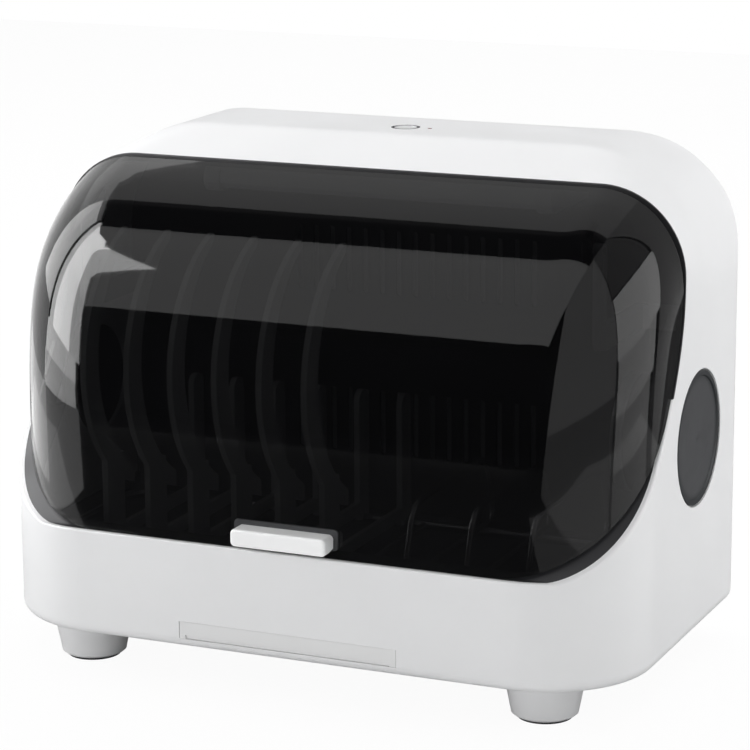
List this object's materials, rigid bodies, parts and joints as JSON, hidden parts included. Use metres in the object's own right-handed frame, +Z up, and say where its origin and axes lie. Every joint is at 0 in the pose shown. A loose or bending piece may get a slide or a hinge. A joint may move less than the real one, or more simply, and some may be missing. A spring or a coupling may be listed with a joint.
{
  "type": "dish storage cabinet",
  "caption": "Countertop cabinet that keeps washed dishes: white hood and base, smoked clear cover that swings up, plate rack, warm air fan, drip tray and four feet.",
  "frame": {"origin": "on the table, under the middle of the cabinet's outline", "axes": "+Z up, -Y to the front where the cover opens, +X to the right seen from the front"},
  "size_m": [0.43, 0.253, 0.331],
  "materials": {
    "white_shell": "satin",
    "black_trim": "satin",
    "smoked_clear": "polished",
    "white_bar": "satin",
    "dark_plate": "satin",
    "steel_screws": "polished",
    "grey_bracket": "satin",
    "bright_steel": "polished",
    "pale_bush": "satin",
    "black_plastic": "satin",
    "motor_metal": "brushed",
    "heater_metal": "matt",
    "pan_metal": "satin",
    "liner_dark": "satin",
    "tray_white": "satin",
    "lamp_glass": "frosted",
    "board_green": "satin",
    "button_grey": "satin",
    "bezel_chrome": "polished",
    "lens_red": "polished",
    "divider_white": "satin",
    "foot_grey": "satin",
    "foot_rubber": "matt"
  },
  "bodies": {
    "cabinet": {"casing": "white_shell", "rear_panel": "white_shell", "opening_frame": "black_trim", "side_disc_right": "dark_plate", "side_disc_left": "dark_plate", "hinge_screws": "steel_screws", "case_screws": "steel_screws", "foot_screws": "steel_screws", "hinge_arm_right": "grey_bracket", "hinge_arm_left": "grey_bracket", "hinge_pin_right": "bright_steel", "hinge_pin_left": "bright_steel", "rack_frame": "bright_steel", "cup_hoops": "bright_steel", "button_spring": "bright_steel", "fan_duct": "black_plastic", "power_inlet": "black_plastic", "fan_motor": "motor_metal", "heater": "heater_metal", "base_pan": "pan_metal", "chamber_floor": "liner_dark", "back_liner": "liner_dark", "tray_runner_right": "tray_white", "tray_runner_left": "tray_white", "lamp_holder": "tray_white", "board_cover": "tray_white", "lamp": "lamp_glass", "control_board": "board_green", "button_bezel": "bezel_chrome", "indicator_lens": "lens_red", "plate_divider_1": "divider_white", "plate_divider_2": "divider_white", "plate_divider_3": "divider_white", "plate_divider_4": "divider_white", "plate_divider_5": "divider_white", "plate_divider_6": "divider_white", "foot_left_front": "foot_grey", "foot_left_rear": "foot_grey", "foot_right_front": "foot_grey", "foot_right_rear": "foot_grey", "foot_pad_left_front": "foot_rubber", "foot_pad_left_rear": "foot_rubber", "foot_pad_right_front": "foot_rubber", "foot_pad_right_rear": "foot_rubber"},
    "cover_body": {"cover": "smoked_clear", "cover_handle": "white_bar", "handle_plate": "dark_plate", "handle_screws": "steel_screws", "hinge_bush_right": "pale_bush", "hinge_bush_left": "pale_bush"},
    "tray_body": {"drip_tray": "tray_white"},
    "button_body": {"power_button": "button_grey"},
    "fan_body": {"fan_rotor": "black_plastic"}
  },
  "joints": [
    {"name": "cover_hinge", "type": "hinge", "parent": "cabinet", "child": "cover_body", "pos_m": [0, -0.0365, 0.282], "axis": [-1, 0, 0], "range_deg": [0, 85]},
    {"name": "tray_slide", "type": "slide", "parent": "cabinet", "child": "tray_body", "axis": [0, -1, 0], "range_m": [0, 0.11]},
    {"name": "button_press", "type": "slide", "parent": "cabinet", "child": "button_body", "axis": [0, 0, -1], "range_m": [0, 0.0015], "stiffness_N_per_m": 400, "springref_m": -0.002, "deforming": ["button_spring"]},
    {"name": "fan_spin", "type": "hinge", "parent": "cabinet", "child": "fan_body", "pos_m": [0.19, 0.0365, 0.153], "axis": [1, 0, 0], "continuous": true}
  ]
}
